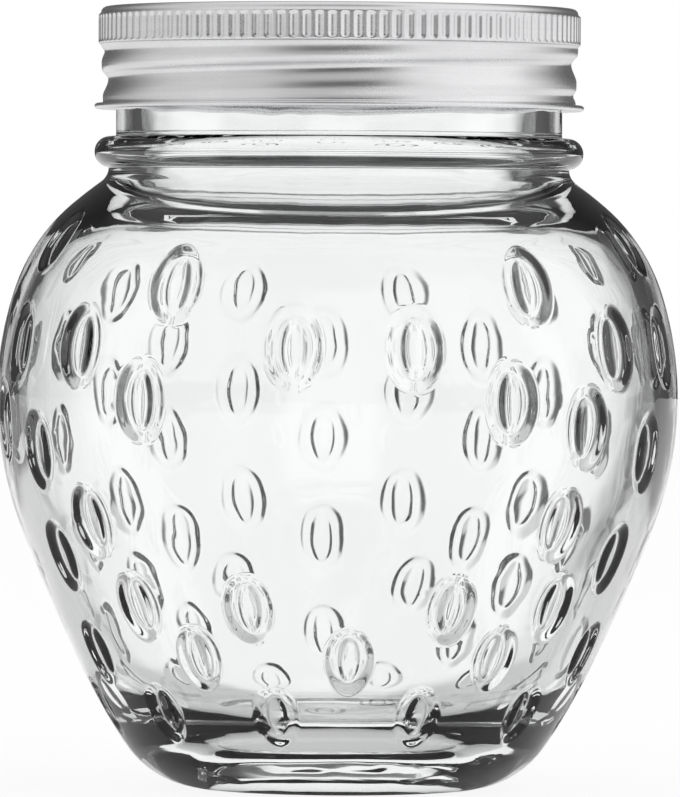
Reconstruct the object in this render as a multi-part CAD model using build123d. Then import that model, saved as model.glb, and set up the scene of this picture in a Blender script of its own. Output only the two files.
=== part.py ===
from build123d import *
import os
from math import acos, cos, degrees, hypot, pi, radians, sin

os.makedirs("parts", exist_ok=True)

# A clear glass preserving jar shaped like a strawberry, closed by a metal lid of two pieces.
# All lengths are millimetres. The origin is the middle of the base, +Z is up, and the front
# of the jar faces -Y. Angles round the jar are measured from the front, to the right.

# Jar body, outside
BODY_DIAMETER = 105.0
BELLY_HEIGHT = 60.0
SHOULDER_HEIGHT = 93.9
HEEL_DIAMETER = 64.6
HEEL_HEIGHT = 6.3
HEEL_WIDTH = 9.8
HEEL_ROUND = 15.0
BEARING_WIDTH = 3.0
PUSH_UP = 1.5
PUSH_UP_FLAT = 14.0

# Jar body, inside
WALL = 3.6
FLOOR_THICKNESS = 8.2
BORE_ROUND = 5.0

# Mouth, and the neck, groove and collar that widen below it
FINISH_DIAMETER = 66.8
FINISH_WALL = 2.9
FINISH_LENGTH = 13.0
RIM_ROUND = 0.5
NECK_STEP = 1.0
NECK_LENGTH = 11.6
GROOVE_STEP = 1.1
GROOVE_LENGTH = 1.46
GROOVE_ROUND = 1.2
COLLAR_STEP = 3.3
COLLAR_ROUND = 2.4

# Seeds, each an oval rise in the middle of an oval dimple
SEED_WIDTH = 4.5
SEED_LENGTH = 9.2
SEED_RISE = 0.95
DIMPLE_WIDTH = 8.9
DIMPLE_LENGTH = 13.2
DIMPLE_DEPTH = 1.1
SEED_ROOT = 0.6

# Lid: seal, disc and screw band
SEAL_THICKNESS = 0.6
DISC_THICKNESS = 0.4
DISC_CLEARANCE = 0.45
PANEL_RISE = 0.4
PANEL_CLEARANCE = 2.0
THREAD_CLEARANCE = 2.1
BAND_SHEET = 0.5
BAND_DEPTH = 15.1
BAND_SHOULDER = 1.0
FLANGE_WIDTH = 5.6
WAIST_DEPTH = 0.6
WAIST_WIDTH = 4.2
WAIST_RISE = 4.7
CURL_ROUND = 0.65
CURL_BITE = 0.15
KNURL_STEP = 0.6
KNURL_DEPTH = 0.3
KNURL_FROM_TOP = 1.2
KNURL_LENGTH = 4.0
KNURL_COUNT = 120

# Glass sizes that follow: the neck from the mouth outwards, the heights from the shoulder up
BEARING_DIAMETER = HEEL_DIAMETER - 2 * HEEL_WIDTH
MOUTH_BORE = FINISH_DIAMETER - 2 * FINISH_WALL
NECK_DIAMETER = FINISH_DIAMETER + 2 * NECK_STEP
GROOVE_DIAMETER = NECK_DIAMETER + 2 * GROOVE_STEP
COLLAR_DIAMETER = NECK_DIAMETER + 2 * COLLAR_STEP
NECK_HEIGHT = SHOULDER_HEIGHT + NECK_LENGTH
RIM_HEIGHT = NECK_HEIGHT + FINISH_LENGTH

# Lid sizes that follow: the band clears the mouth's screw thread, and the disc lies inside it
DISC_LOW = RIM_HEIGHT + SEAL_THICKNESS
LID_TOP = DISC_LOW + DISC_THICKNESS + BAND_SHEET
BAND_BOTTOM = LID_TOP - BAND_DEPTH
WAIST_BORE = FINISH_DIAMETER + 2 * THREAD_CLEARANCE
BAND_DIAMETER = WAIST_BORE + 2 * (WAIST_DEPTH + BAND_SHEET)
BAND_MOUTH = BAND_DIAMETER - 2 * FLANGE_WIDTH
DISC_DIAMETER = WAIST_BORE - 2 * DISC_CLEARANCE
PANEL_DIAMETER = MOUTH_BORE - 2 * PANEL_CLEARANCE
KNURL_DIAMETER = BAND_DIAMETER + 2 * KNURL_STEP

# One length by which every cutting body runs past what it cuts
OVERRUN = 1.0
# Halvings of the wall to find a height on it
BISECTIONS = 40

# Where the arcs of the wall meet, as (share of the way in from the belly, share of the way
# from the belly to the heel or to the shoulder)
LOWER_SHARES = ((0.193, 0.38), (0.678, 0.793), (1.0, 1.0))
UPPER_SHARES = ((0.159, 0.493), (0.671, 0.873), (1.0, 1.0))

# Rows of seeds: (height as a share of the body, size as a share of a full seed, angles on the
# front half, angles on the back half). The back half is counted from the back of the jar.
SEED_ROW_SHARES = (
    (0.133, 0.80, (-80, -48, -17, 17, 48, 80), (-73, -44, -15, 15, 44, 73)),
    (0.227, 0.84, (-65, -33, 0, 33, 65), (-65, -33, 0, 33, 65)),
    (0.309, 0.88, (-45, -20, 20, 45), (-79, -45, -20, 20, 45, 79)),
    (0.384, 0.90, (-64, 59), (-61, -31, 0, 31, 61)),
    (0.444, 0.92, (-51, 40), (-44, -16, 16, 44)),
    (0.555, 0.96, (-63, 62), (-88, -62, -31, 0, 31, 62, 88)),
    (0.600, 0.98, (-79, 43), ()),
    (0.641, 1.00, (-37, 27), (-45, -16, 16, 45)),
    (0.727, 1.00, (-71, -51, -10, 10, 51, 70), (-84, -62, -31, 0, 31, 62, 84)),
    (0.827, 1.00, (-32, 32), (-46, -16, 16, 46)),
    (0.896, 0.90, (-70, 70), (-69, 69)),
)


def arc_chain(points, start):
    """Join points by arcs, each tangent to the one before. Return the arcs and end tangents."""
    arcs, tangents = [], [Vector(start)]
    for before, after in zip(points, points[1:]):
        arcs.append(TangentArc(before, after, tangent=tangents[-1]))
        tangents.append(arcs[-1] % 1)
    return arcs, tangents


def wall_points(end_radius, end_height, shares):
    """Return where the wall's arcs meet, from the belly to an end of the body."""
    belly = BODY_DIAMETER / 2
    return [(belly, BELLY_HEIGHT)] + [(belly + inwards * (end_radius - belly),
                                       BELLY_HEIGHT + along * (end_height - BELLY_HEIGHT))
                                      for inwards, along in shares]


def lower_wall():
    """Return the arcs of the outer wall from the belly down to the heel, and their tangents."""
    points = wall_points(HEEL_DIAMETER / 2, HEEL_HEIGHT, LOWER_SHARES)
    return points, *arc_chain(points, (0, -1))


def upper_wall():
    """Return the arcs of the outer wall from the belly up to the groove, and their tangents."""
    points = wall_points(GROOVE_DIAMETER / 2, SHOULDER_HEIGHT, UPPER_SHARES)
    return points, *arc_chain(points, (0, 1))


def inside(points, tangents, side):
    """Move the points of a wall inwards, square to it, by the wall's thickness."""
    return [(radius - side * WALL * along.Y, height + side * WALL * along.X)
            for (radius, height), along in zip(points, tangents)]


def revolved(profile):
    """Turn a closed outline, drawn as (radius, height), once round the jar's axis."""
    return revolve(Plane.XZ * profile, Axis.Z, 360)


def corner(face, radius, height):
    """Return the corner of an outline that lies nearest to a point."""
    return min(face.vertices(), key=lambda vertex: hypot(vertex.X - radius, vertex.Y - height))


def outer_profile():
    """Return the outer outline of the glass, closed along the axis."""
    low_points, low_arcs, _ = lower_wall()
    high_points, high_arcs, _ = upper_wall()
    bearing = BEARING_DIAMETER / 2
    inner_bearing = bearing - BEARING_WIDTH
    groove, neck, finish = GROOVE_DIAMETER / 2, NECK_DIAMETER / 2, FINISH_DIAMETER / 2
    bead = COLLAR_DIAMETER / 2 - COLLAR_ROUND
    low = SHOULDER_HEIGHT + GROOVE_LENGTH
    widest = low + (COLLAR_ROUND ** 2 - (groove - bead) ** 2) ** 0.5
    high = widest + (COLLAR_ROUND ** 2 - (neck - bead) ** 2) ** 0.5
    step = NECK_HEIGHT + neck - finish
    shoulder = high_points[-1]
    flat = PUSH_UP_FLAT / 2
    lines = [Line((0, PUSH_UP), (flat, PUSH_UP)),
             TangentArc((flat, PUSH_UP), (inner_bearing, 0), tangent=(1, 0)),
             Line((inner_bearing, 0), (bearing, 0)),
             RadiusArc((bearing, 0), low_points[-1], -HEEL_ROUND),
             *low_arcs, *high_arcs, Line(shoulder, (groove, low)),
             ThreePointArc((groove, low), (COLLAR_DIAMETER / 2, widest), (neck, high)),
             Polyline((neck, high), (neck, NECK_HEIGHT), (finish, step), (finish, RIM_HEIGHT),
                      (0, RIM_HEIGHT), (0, PUSH_UP))]
    face = make_face(lines)
    return fillet(corner(face, *shoulder), GROOVE_ROUND)


def inner_profile():
    """Return the outline of the space inside the jar, closed along the axis."""
    points, _, tangents = lower_wall()
    low_points = inside(points, tangents, -1)[:-1]
    low_arcs, low_tangents = arc_chain(low_points, (0, -1))
    points, _, tangents = upper_wall()
    high_points = inside(points, tangents, 1)[:-1]
    high_arcs, high_tangents = arc_chain(high_points, (0, 1))
    turn = 1 + low_tangents[-1].X
    foot_radius, foot_height = low_points[-1]
    round_floor = (foot_height - FLOOR_THICKNESS) / turn
    floor_edge = foot_radius + round_floor * low_tangents[-1].Y
    bore, mouth = MOUTH_BORE / 2, RIM_HEIGHT + OVERRUN
    top_radius, top_height = high_points[-1]
    slope = high_tangents[-1]
    bend = top_height + (bore - top_radius) * slope.Y / slope.X
    lines = [Line((0, FLOOR_THICKNESS), (floor_edge, FLOOR_THICKNESS)),
             TangentArc((floor_edge, FLOOR_THICKNESS), low_points[-1], tangent=(1, 0)),
             *low_arcs, *high_arcs,
             Polyline(high_points[-1], (bore, bend), (bore, mouth), (0, mouth),
                      (0, FLOOR_THICKNESS))]
    face = make_face(lines)
    return fillet(corner(face, bore, bend), BORE_ROUND)


def wall_frame(height):
    """Return the outer wall's radius at a height and its direction there, going up."""
    _, arcs, _ = lower_wall() if height < BELLY_HEIGHT else upper_wall()
    wall = Wire(arcs)
    rising = 1 if height > BELLY_HEIGHT else -1
    low, high = (0.0, 1.0) if rising > 0 else (1.0, 0.0)
    for _ in range(BISECTIONS):
        middle = (low + high) / 2
        low, high = (middle, high) if (wall @ middle).Y < height else (low, middle)
    along = (wall % low) * rising
    return (wall @ low).X, along.X, along.Y


def lens(width, length, depth, crown, base):
    """Return an oval cap on the outer side of a ring, its top at the crown, pointing to +Z.

    The cap is as wide and as long as asked where it is one depth below its crown, and it is
    closed by a flat strip at the base, which lies lower still.
    """
    across = ((width / 2) ** 2 + depth ** 2) / (2 * depth)
    along = ((length / 2) ** 2 + depth ** 2) / (2 * depth)
    drop = crown - base
    half = (across ** 2 - (across - drop) ** 2) ** 0.5
    section = make_face([ThreePointArc((-half, base), (0, crown), (half, base)),
                         Line((half, base), (-half, base))])
    axis = Axis((0, 0, crown - along), (1, 0, 0))
    turn = degrees(acos(1 - drop / along))
    return revolve(Plane.XZ * section, axis, 2 * turn).rotate(axis, -turn)


def seed_places():
    """Give the place of each seed as (height, angle from the front, size share)."""
    places = []
    for height_share, size_share, front, back in SEED_ROW_SHARES:
        height = height_share * SHOULDER_HEIGHT
        places += [(height, angle, size_share) for angle in front]
        places += [(height, angle + 180, size_share) for angle in back]
    return places


def on_wall(height, angle):
    """Return the plane that lies on the outer wall: X round the jar, Y up it, Z outwards."""
    radius, out, up = wall_frame(height)
    turn = radians(angle - 90)
    across, ahead = cos(turn), sin(turn)
    return Plane(origin=(radius * across, radius * ahead, height), x_dir=(-ahead, across, 0),
                 z_dir=(up * across, up * ahead, -out))


def seeds_and_dimples():
    """Return the ovals that cut the dimples and the ovals that rise in them as seeds."""
    dimples, seeds = [], []
    for height, angle, size in seed_places():
        place = on_wall(height, angle)
        width, length = size * DIMPLE_WIDTH, size * DIMPLE_LENGTH
        hollow = lens(width, length, DIMPLE_DEPTH, DIMPLE_DEPTH, -OVERRUN)
        dimples.append(place * Rot(180, 0, 0) * hollow)
        width, length = size * SEED_WIDTH, size * SEED_LENGTH
        crown, root = SEED_RISE - DIMPLE_DEPTH, -DIMPLE_DEPTH - SEED_ROOT
        seeds.append(place * lens(width, length, SEED_RISE, crown, root))
    return dimples, seeds


def jar():
    """The glass: a strawberry body with seeded dimples, a collar, a neck and a round mouth."""
    dimples, seeds = seeds_and_dimples()
    glass = revolved(outer_profile()) - dimples
    glass = glass + seeds
    glass = glass - revolved(inner_profile())
    rim = glass.edges().filter_by(GeomType.CIRCLE).group_by(Axis.Z)[-1]
    return fillet(rim, RIM_ROUND)


def seal_ring():
    """The soft ring under the disc, flat on the rim of the glass."""
    outer, inner = FINISH_DIAMETER / 2 - RIM_ROUND, MOUTH_BORE / 2 + RIM_ROUND
    ring = Cylinder(outer, SEAL_THICKNESS) - Cylinder(inner, SEAL_THICKNESS + OVERRUN)
    return Pos(0, 0, RIM_HEIGHT + SEAL_THICKNESS / 2) * ring


def lid_disc():
    """The flat disc that closes the mouth, with a raised panel inside the band's opening."""
    low, high = DISC_LOW, DISC_LOW + DISC_THICKNESS
    edge, panel = DISC_DIAMETER / 2, PANEL_DIAMETER / 2
    slope = panel + PANEL_RISE
    outline = Polyline((0, low + PANEL_RISE), (panel, low + PANEL_RISE), (slope, low),
                       (edge, low), (edge, high), (slope + DISC_THICKNESS / 2, high),
                       (panel + DISC_THICKNESS / 2, high + PANEL_RISE),
                       (0, high + PANEL_RISE), close=True)
    return revolved(make_face(outline))


def band_wall(inset, bottom):
    """Return the band's outline, moved inwards by the inset and closed along the axis."""
    side = BAND_DIAMETER / 2 - inset
    crown = LID_TOP - inset
    waist = BAND_BOTTOM + WAIST_RISE
    above, below = waist + WAIST_WIDTH / 2, waist - WAIST_WIDTH / 2
    groove = ThreePointArc((side, below), (side - WAIST_DEPTH, waist), (side, above))
    face = make_face([Polyline((side, above), (side, crown), (0, crown), (0, bottom),
                               (side, bottom), (side, below)), groove])
    return fillet(corner(face, side, crown), BAND_SHOULDER - inset / 2)


def knurl_ring():
    """The fluted grip round the band: one shallow tooth after another."""
    outer, low = KNURL_DIAMETER / 2, LID_TOP - KNURL_FROM_TOP - KNURL_LENGTH
    step = pi / KNURL_COUNT
    teeth = [((outer - KNURL_DEPTH * (tooth % 2)) * cos(tooth * step),
              (outer - KNURL_DEPTH * (tooth % 2)) * sin(tooth * step))
             for tooth in range(2 * KNURL_COUNT)]
    star = make_face(Polyline(*teeth, close=True)) - Circle(BAND_DIAMETER / 2 - BAND_SHEET / 2)
    return Pos(0, 0, low) * extrude(star, KNURL_LENGTH)


def screw_band():
    """The metal ring that screws down over the disc: flange, knurled side, waist and curl."""
    shell = revolved(band_wall(0, BAND_BOTTOM))
    shell = shell - revolved(band_wall(BAND_SHEET, BAND_BOTTOM - OVERRUN))
    shell = shell + knurl_ring()
    curl = BAND_DIAMETER / 2 + CURL_ROUND - CURL_BITE
    shell = shell + Pos(0, 0, BAND_BOTTOM) * Torus(curl, CURL_ROUND)
    opening = Cylinder(BAND_MOUTH / 2, BAND_SHEET + OVERRUN)
    return shell - Pos(0, 0, LID_TOP) * opening


NODES = {"jar": jar, "seal_ring": seal_ring, "lid_disc": lid_disc, "screw_band": screw_band}

for name, make in NODES.items():
    export_step(make(), f"parts/{name}.step")
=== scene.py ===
import logging
import math
from dataclasses import dataclass
from enum import Enum
from typing import Any, Iterable, Sequence

import bpy
import numpy as np
from mathutils import Matrix, Vector
from mathutils.geometry import delaunay_2d_cdt

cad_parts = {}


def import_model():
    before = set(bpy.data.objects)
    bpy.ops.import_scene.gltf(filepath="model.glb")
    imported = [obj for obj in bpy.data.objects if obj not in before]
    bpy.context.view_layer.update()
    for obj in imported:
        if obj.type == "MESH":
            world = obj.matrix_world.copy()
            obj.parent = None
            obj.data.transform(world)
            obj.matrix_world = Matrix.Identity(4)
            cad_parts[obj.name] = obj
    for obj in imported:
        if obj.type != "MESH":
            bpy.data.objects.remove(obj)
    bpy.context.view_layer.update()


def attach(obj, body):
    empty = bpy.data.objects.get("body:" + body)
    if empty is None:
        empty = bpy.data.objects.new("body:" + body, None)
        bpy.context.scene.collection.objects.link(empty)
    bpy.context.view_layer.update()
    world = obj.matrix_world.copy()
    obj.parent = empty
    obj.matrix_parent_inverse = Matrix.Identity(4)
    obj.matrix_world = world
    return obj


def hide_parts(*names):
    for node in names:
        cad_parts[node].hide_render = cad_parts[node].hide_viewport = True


# Looks of a clear glass preserving jar shaped like a strawberry, with a metal screw lid of two
# pieces. Sizes of the pieces are millimetres, and MM turns them into metres. The origin is the
# middle of the base, +Z is up and the front faces -Y. Angles run from the front to the right.

MM = 0.001
LOG = logging.getLogger("jar")
WHITE = (1.0, 1.0, 1.0, 1.0)

# Limits of the drawing and meshing: lengths and curves taken as none, the fewest steps of an
# arc, how its steps grow with the root of its radius, and the points of a finely spaced wall.

SHORTEST = 1e-6
STRAIGHT = 1e-9
LEAST_ARC = 3
ARC_STEP = 0.6
WALL_POINTS = 4000

# Numbers that the glass stores where no seed, bore or thread is, and all names that are stored.

FAR = 9.0
PLAIN = {"seed_reach": FAR, "dimple_reach": FAR, "inside": 0.0, "thread": 0.0}
STORED = ("outwards", "flute", *PLAIN)

Pair = tuple[float, float]
Colour = tuple[float, float, float, float]


class Detail(Enum):
    """How finely a random pattern is broken up."""

    SMOOTH = 1.0
    SOFT = 2.0
    DRAWN = 3.0
    MOTTLED = 4.0


class Body(Enum):
    """The rigid bodies that pieces ride on."""

    ROOT = "root"


class Node(Enum):
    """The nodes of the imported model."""

    JAR = "jar"
    SEAL = "seal_ring"
    DISC = "lid_disc"
    BAND = "screw_band"


# Node trees


class Value:
    """A number socket that takes part in Python arithmetic by adding Math nodes."""

    def __init__(self, graph: "Graph", socket: bpy.types.NodeSocket) -> None:
        """Wrap one output socket of a graph."""
        self.graph = graph
        self.socket = socket

    def maths(self, operation: str, *others: Any, clamp: bool = False) -> "Value":
        """Add a Math node.

        Args:
            operation: The node's operation.
            others: The second and third operands.
            clamp: Whether the result is kept between 0 and 1.

        Returns:
            The node's result.
        """
        settings = {"operation": operation, "use_clamp": clamp}
        return self.graph.value("ShaderNodeMath", settings, dict(enumerate((self, *others))))

    def reflected(self, operation: str, other: Any) -> "Value":
        """Add a Math node with this value as its second operand."""
        return self.graph.value("ShaderNodeMath", {"operation": operation}, {0: other, 1: self})

    def __add__(self, other: Any) -> "Value":
        """Add."""
        return self.maths("ADD", other)

    __radd__ = __add__

    def __sub__(self, other: Any) -> "Value":
        """Subtract."""
        return self.maths("SUBTRACT", other)

    def __rsub__(self, other: Any) -> "Value":
        """Subtract this from a number."""
        return self.reflected("SUBTRACT", other)

    def __mul__(self, other: Any) -> "Value":
        """Multiply."""
        return self.maths("MULTIPLY", other)

    __rmul__ = __mul__

    def __truediv__(self, other: Any) -> "Value":
        """Divide."""
        return self.maths("DIVIDE", other)

    def __rtruediv__(self, other: Any) -> "Value":
        """Divide a number by this."""
        return self.reflected("DIVIDE", other)

    def __pow__(self, other: Any) -> "Value":
        """Raise to a power."""
        return self.maths("POWER", other)

    def __neg__(self) -> "Value":
        """Change the sign."""
        return self.maths("MULTIPLY", -1.0)

    def step(self, low: Any, high: Any) -> "Value":
        """Rise smoothly from 0 at the low number or value to 1 at the high one."""
        share = ((self - low) / (high - low)).maths("ADD", 0.0, clamp=True)
        return share * share * (3.0 - 2.0 * share)


class Graph:
    """A node tree, with one method that adds any node and short ones for those used often."""

    def __init__(self, tree: bpy.types.NodeTree) -> None:
        """Hold the tree."""
        self.tree = tree

    def add(self, kind: str, settings: dict[str, Any] | None = None,
            inputs: dict[Any, Any] | None = None) -> bpy.types.Node:
        """Add a node, set it up and link or set its inputs.

        Args:
            kind: The node's type name.
            settings: Its own settings, set first.
            inputs: Values, sockets or numbers by the input's name or place.

        Returns:
            The new node.
        """
        node = self.tree.nodes.new(kind)
        for name, value in (settings or {}).items():
            setattr(node, name, value)
        for name, value in (inputs or {}).items():
            socket = node.inputs[name]
            if isinstance(value, Value):
                self.tree.links.new(value.socket, socket)
            elif isinstance(value, bpy.types.NodeSocket):
                self.tree.links.new(value, socket)
            else:
                socket.default_value = value
        return node

    def value(self, kind: str, settings: dict[str, Any] | None = None,
              inputs: dict[Any, Any] | None = None, output: Any = 0) -> Value:
        """Add a node and wrap one of its outputs."""
        return Value(self, self.add(kind, settings, inputs).outputs[output])

    def parts(self, vector: bpy.types.NodeSocket) -> tuple[Value, ...]:
        """Return the three parts of a vector."""
        node = self.add("ShaderNodeSeparateXYZ", None, {0: vector})
        return tuple(Value(self, socket) for socket in node.outputs)

    def noise(self, place: bpy.types.NodeSocket, scale: Any, detail: Detail) -> Value:
        """Return a soft random number that changes with the place."""
        inputs = {"Vector": place, "Scale": scale, "Detail": detail.value}
        return self.value("ShaderNodeTexNoise", None, inputs, "Fac")

    def blend(self, factor: Value, first: Any, second: Any) -> bpy.types.NodeSocket:
        """Return a colour between two, each a colour or a socket."""
        inputs = {"Factor": factor, 6: first, 7: second}
        return self.add("ShaderNodeMix", {"data_type": "RGBA"}, inputs).outputs[2]

    def bump(self, strength: float, depth: float, height: Value) -> bpy.types.NodeSocket:
        """Return the normal that a height bends, with its depth in millimetres."""
        inputs = {"Strength": strength, "Distance": depth * MM, "Height": height}
        return self.add("ShaderNodeBump", None, inputs).outputs[0]

    def rays(self, *kinds: str) -> list[Value]:
        """Return, for each kind of ray, 1 on such rays and 0 on others."""
        path = self.add("ShaderNodeLightPath")
        return [Value(self, path.outputs[f"Is {kind} Ray"]) for kind in kinds]


def turns(x: Value, y: Value) -> Value:
    """Return the angle of a place from the front, as a share of a full turn."""
    return x.maths("ARCTAN2", -y) / (2 * math.pi)


def degrees(side: Value, ahead: Value) -> Value:
    """Return the angle of a way from straight ahead, in degrees."""
    return side.maths("ARCTAN2", ahead) * (180 / math.pi)


def between(low: float, high: float, share: Value) -> Value:
    """Return the number at a share of the way from the low one to the high one."""
    return low + (high - low) * share


# Outlines of turned pieces


def unit(angle: float) -> Pair:
    """Return the direction at an angle in degrees from outwards, turning upwards."""
    return math.cos(math.radians(angle)), math.sin(math.radians(angle))


class Pen:
    """Draws the half-section of a turned piece as (radius, height) points with headings.

    The piece's outside lies to the right of the way the pen goes.
    """

    def __init__(self, start: Pair, heading: Pair, step: float) -> None:
        """Set the pen down.

        Args:
            start: First point, in millimetres.
            heading: Direction in which it sets off.
            step: Longest distance between two points, where a stroke gives none.
        """
        self.points: list[Pair] = [start]
        self.headings: list[Pair] = [heading]
        self.step = step
        self.marks: dict[str, int] = {}

    def mark(self, name: str) -> None:
        """Remember the number of the last point under a name."""
        self.marks[name] = len(self.points) - 1

    def put(self, point: Pair, heading: Pair) -> None:
        """Add one point."""
        self.points.append(point)
        self.headings.append(heading)

    def line(self, end: Pair, step: float | None = None) -> None:
        """Draw a straight line.

        Args:
            end: Where it ends.
            step: Longest distance between two points, or None for the pen's own.
        """
        (r0, z0), (r1, z1) = self.points[-1], end
        length = math.hypot(r1 - r0, z1 - z0)
        if length < SHORTEST:
            return
        heading = ((r1 - r0) / length, (z1 - z0) / length)
        count = max(1, math.ceil(length / (step or self.step)))
        if len(self.points) == 1:
            self.headings[0] = heading
        for index in range(1, count + 1):
            share = index / count
            self.put((r0 + (r1 - r0) * share, z0 + (z1 - z0) * share), heading)

    def bend(self, end: Pair, heading: Pair | None = None, step: float | None = None) -> None:
        """Draw an arc.

        Args:
            end: Where it ends.
            heading: Direction in which it sets off, or None for the last one.
            step: Longest distance between two points, or None for the pen's own.
        """
        (r0, z0), (r1, z1) = self.points[-1], end
        out, up = heading or self.headings[-1]
        start = math.atan2(up, out)
        chord = math.hypot(r1 - r0, z1 - z0)
        if chord < SHORTEST:
            return
        turn = math.atan2(z1 - z0, r1 - r0) - start
        turn = (turn + math.pi) % (2 * math.pi) - math.pi
        curve = 2 * math.sin(turn) / chord
        if abs(curve) < STRAIGHT:
            self.line(end, step)
            return
        length = 2 * turn / curve
        finest = ARC_STEP * abs(1 / curve) ** 0.5
        count = max(LEAST_ARC, math.ceil(length / min(step or self.step, finest)))
        for index in range(1, count + 1):
            angle = start + 2 * turn * index / count
            self.put((r0 + (math.sin(angle) - math.sin(start)) / curve,
                      z0 + (math.cos(start) - math.cos(angle)) / curve),
                     (math.cos(angle), math.sin(angle)))

    def turn(self, corner: Pair, towards: Pair, radius: float,
             step: float | None = None) -> None:
        """Go straight to a corner and round it with an arc.

        Args:
            corner: The corner.
            towards: A point that the next line heads for.
            radius: Radius of the arc.
            step: Longest distance between two points, or None for the pen's own.
        """
        (r0, z0), (r1, z1), (r2, z2) = self.points[-1], corner, towards
        before, after = math.hypot(r1 - r0, z1 - z0), math.hypot(r2 - r1, z2 - z1)
        into = ((r1 - r0) / before, (z1 - z0) / before)
        away = ((r2 - r1) / after, (z2 - z1) / after)
        angle = math.acos(max(-1.0, min(1.0, into[0] * away[0] + into[1] * away[1])))
        cut = radius * math.tan(angle / 2)
        self.line((r1 - into[0] * cut, z1 - into[1] * cut), step)
        self.bend((r1 + away[0] * cut, z1 + away[1] * cut), into, step)

    def hollow(self, radius: float, curve: float, step: float) -> None:
        """Round the inner corner between the line drawn and an upright one further in.

        Args:
            radius: Radius of the upright line.
            curve: Radius of the corner.
            step: Longest distance between two points.
        """
        while (self.points[-1][0] - radius) < curve * (1.0 - self.headings[-1][1]):
            self.points.pop()
            self.headings.pop()
        (edge, height), (out, up) = self.points[-1], self.headings[-1]
        curve = (edge - radius) / (1.0 - up)
        self.bend((radius, height - curve * out), None, step)

    def chain(self, points: Sequence[Pair], heading: Pair, backwards: bool = False) -> None:
        """Draw arcs through points, each tangent to the one before.

        Args:
            points: Where the arcs meet, in the order in which they are worked out.
            heading: Direction in which the first arc sets off.
            backwards: Whether the chain is drawn from its last point to its first.
        """
        other = Pen(points[0], heading, self.step)
        for point in points[1:]:
            other.bend(point)
        drawn = list(zip(other.points, other.headings))
        if backwards:
            drawn = [(point, (-out, -up)) for point, (out, up) in reversed(drawn)]
        for point, way in drawn[1:]:
            self.put(point, way)

    def outline(self) -> "Outline":
        """Return what was drawn."""
        return Outline(np.array(self.points), np.array(self.headings))


@dataclass(frozen=True)
class Outline:
    """Points of a half-section with the heading at each."""

    points: np.ndarray
    headings: np.ndarray

    @property
    def normals(self) -> np.ndarray:
        """Outward normals, as (radius, height) pairs."""
        return np.stack([self.headings[:, 1], -self.headings[:, 0]], axis=1)

    def part(self, first: int, last: int) -> "Outline":
        """Return the stretch from one point to another, both included."""
        return Outline(self.points[first:last + 1], self.headings[first:last + 1])


# Meshes of turned pieces


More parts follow.
